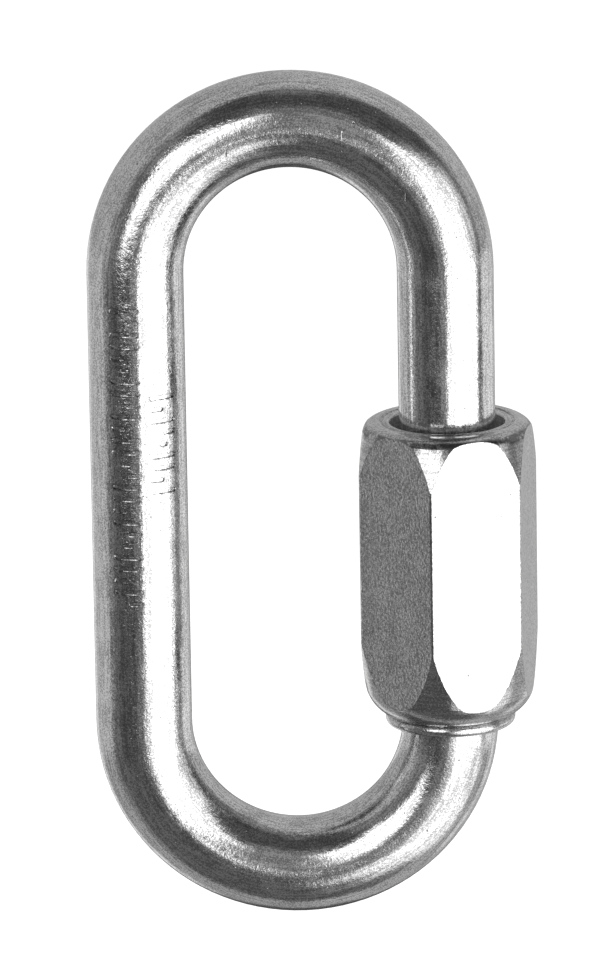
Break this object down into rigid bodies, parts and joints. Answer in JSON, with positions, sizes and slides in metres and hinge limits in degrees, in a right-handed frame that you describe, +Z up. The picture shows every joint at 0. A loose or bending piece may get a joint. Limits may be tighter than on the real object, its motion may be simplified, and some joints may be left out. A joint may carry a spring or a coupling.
{
  "type": "screw-gate quick link",
  "caption": "Oval connecting link bent from round steel bar, its gap closed by a six-sided sleeve nut that screws up the shank to open it.",
  "frame": {"origin": "inside crown of the upper bow, the point the link hangs from", "axes": "+Z up along the long axis of the oval, +X towards the side with the sleeve nut, +Y towards the back, so the front faces -Y"},
  "size_m": [0.0462, 0.0192, 0.09],
  "materials": {
    "bar_zinc": "bright zinc plate, satin, finely speckled",
    "nut_zinc": "bright zinc plate over drawn flats and turned ends",
    "collar_zinc": "bright zinc plate, turned"
  },
  "bodies": {
    "link": {"link_body": "bar_zinc"},
    "collar": {"nut_foot_collar": "collar_zinc"},
    "nut": {"sleeve_nut": "nut_zinc"}
  },
  "joints": [
    {"name": "nut_advance", "type": "slide", "parent": "link", "child": "collar", "axis": [0, 0, 1], "range_m": [0, 0.02057]},
    {"name": "nut_turn", "type": "hinge", "parent": "collar", "child": "nut", "pos_m": [0.016, 0, -0.04342], "axis": [0, 0, 1], "range_deg": [0, 4230]}
  ],
  "couplings": [
    {"joint": "nut_advance", "follows": "nut_turn", "m_per_rad": 0.00027852}
  ]
}
